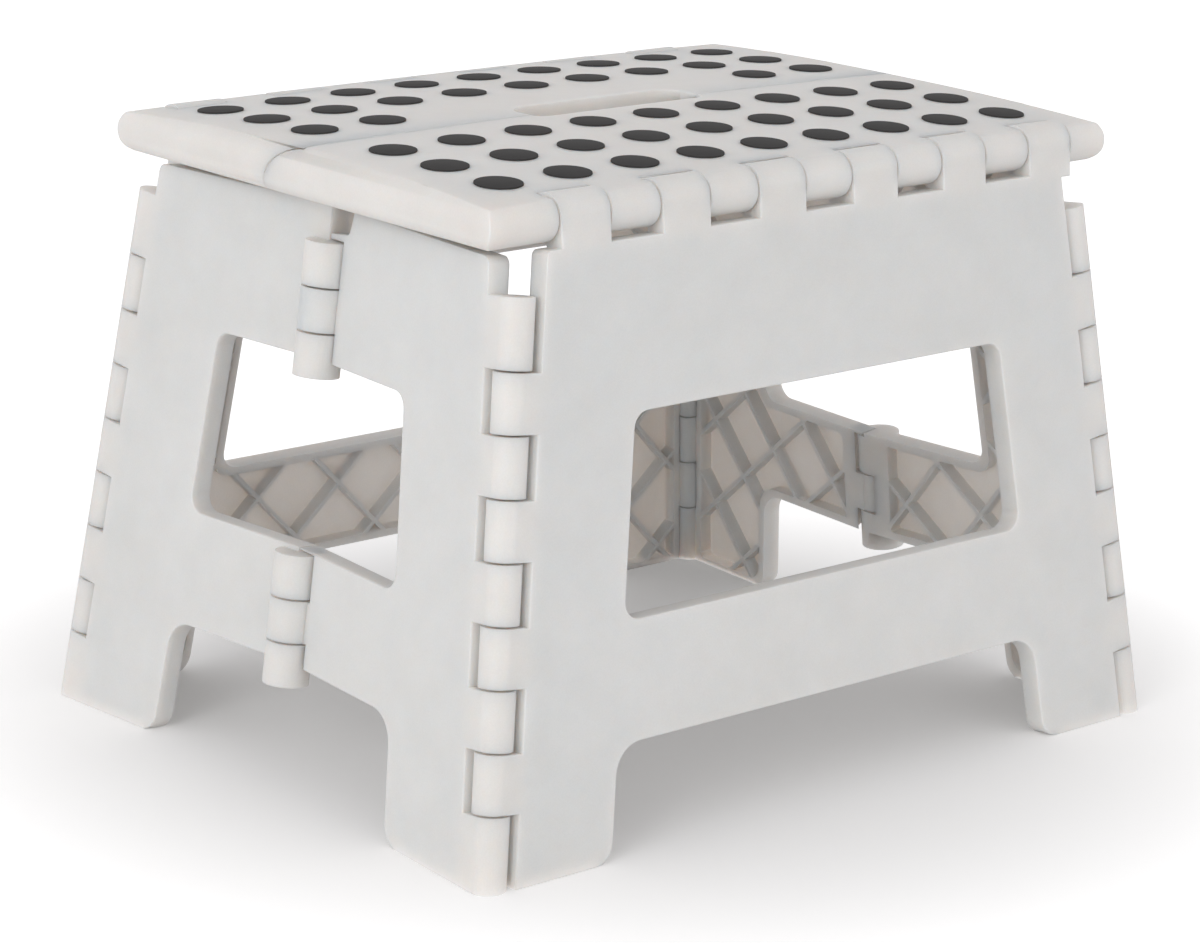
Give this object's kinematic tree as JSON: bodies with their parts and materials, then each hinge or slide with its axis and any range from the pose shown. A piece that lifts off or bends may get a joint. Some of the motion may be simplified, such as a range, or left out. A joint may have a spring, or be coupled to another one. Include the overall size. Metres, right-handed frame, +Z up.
{
  "type": "folding step stool",
  "caption": "Folding plastic step stool: split domed seat with a hand slot and round grip dots, leaning panels with windows, and knuckle hinges that let it fold flat.",
  "frame": {"origin": "on the floor, under the middle of the seat", "axes": "+X along the long front edge, +Y from the front leg to the back leg, +Z up"},
  "size_m": [0.3084, 0.2514, 0.2205],
  "materials": {
    "ivory_plastic": "fine satin moulding",
    "grip_rubber": "matt",
    "pin_steel": "drawn wire"
  },
  "bodies": {
    "leg_front": {"leg_front": "ivory_plastic", "seat_edge_pin_front": "pin_steel", "corner_pin_front_left": "pin_steel", "corner_pin_front_right": "pin_steel"},
    "seat_front": {"seat_front": "ivory_plastic", "seat_front_grip_dots": "grip_rubber", "seat_middle_pin_left": "pin_steel", "seat_middle_pin_right": "pin_steel"},
    "seat_back": {"seat_back": "ivory_plastic", "seat_back_grip_dots": "grip_rubber", "seat_edge_pin_back": "pin_steel"},
    "leg_back": {"leg_back": "ivory_plastic", "corner_pin_back_left": "pin_steel", "corner_pin_back_right": "pin_steel"},
    "end_left_front": {"end_left_front": "ivory_plastic"},
    "end_left_back": {"end_left_back": "ivory_plastic", "end_pin_left_upper": "pin_steel", "end_pin_left_lower": "pin_steel"},
    "end_right_back": {"end_right_back": "ivory_plastic"},
    "end_right_front": {"end_right_front": "ivory_plastic", "end_pin_right_upper": "pin_steel", "end_pin_right_lower": "pin_steel"}
  },
  "joints": [
    {"name": "seat_front_fold", "type": "hinge", "parent": "leg_front", "child": "seat_front", "pos_m": [0, -0.09626, 0.2093], "axis": [1, 0, 0], "range_deg": [0, 84.1]},
    {"name": "seat_middle_fold", "type": "hinge", "parent": "seat_front", "child": "seat_back", "pos_m": [0, 0, 0.2003], "axis": [1, 0, 0], "range_deg": [-180, 0]},
    {"name": "seat_back_fold", "type": "hinge", "parent": "seat_back", "child": "leg_back", "pos_m": [0, 0.09626, 0.2093], "axis": [1, 0, 0], "range_deg": [0, 84.1]},
    {"name": "corner_front_left", "type": "hinge", "parent": "leg_front", "child": "end_left_front", "pos_m": [-0.13324, -0.10711, 0.1], "axis": [0.1238, 0.102, 0.987], "range_deg": [-86.23, 0]},
    {"name": "corner_front_right", "type": "hinge", "parent": "leg_front", "child": "end_right_front", "pos_m": [0.13324, -0.10711, 0.1], "axis": [-0.1238, 0.102, 0.987], "range_deg": [0, 86.23]},
    {"name": "corner_back_left", "type": "hinge", "parent": "leg_back", "child": "end_left_back", "pos_m": [-0.13324, 0.10711, 0.1], "axis": [0.1238, -0.102, 0.987], "range_deg": [0, 86.23]},
    {"name": "corner_back_right", "type": "hinge", "parent": "leg_back", "child": "end_right_back", "pos_m": [0.13324, 0.10711, 0.1], "axis": [-0.1238, -0.102, 0.987], "range_deg": [-86.23, 0]}
  ],
  "couplings": [
    {"joint": "seat_middle_fold", "follows": "seat_front_fold", "ratio": -2.1403},
    {"joint": "seat_back_fold", "follows": "seat_front_fold", "ratio": 1},
    {"joint": "corner_front_left", "follows": "seat_front_fold", "ratio": -1.0254},
    {"joint": "corner_front_right", "follows": "seat_front_fold", "ratio": 1.0254},
    {"joint": "corner_back_left", "follows": "seat_front_fold", "ratio": 1.0254},
    {"joint": "corner_back_right", "follows": "seat_front_fold", "ratio": -1.0254}
  ]
}
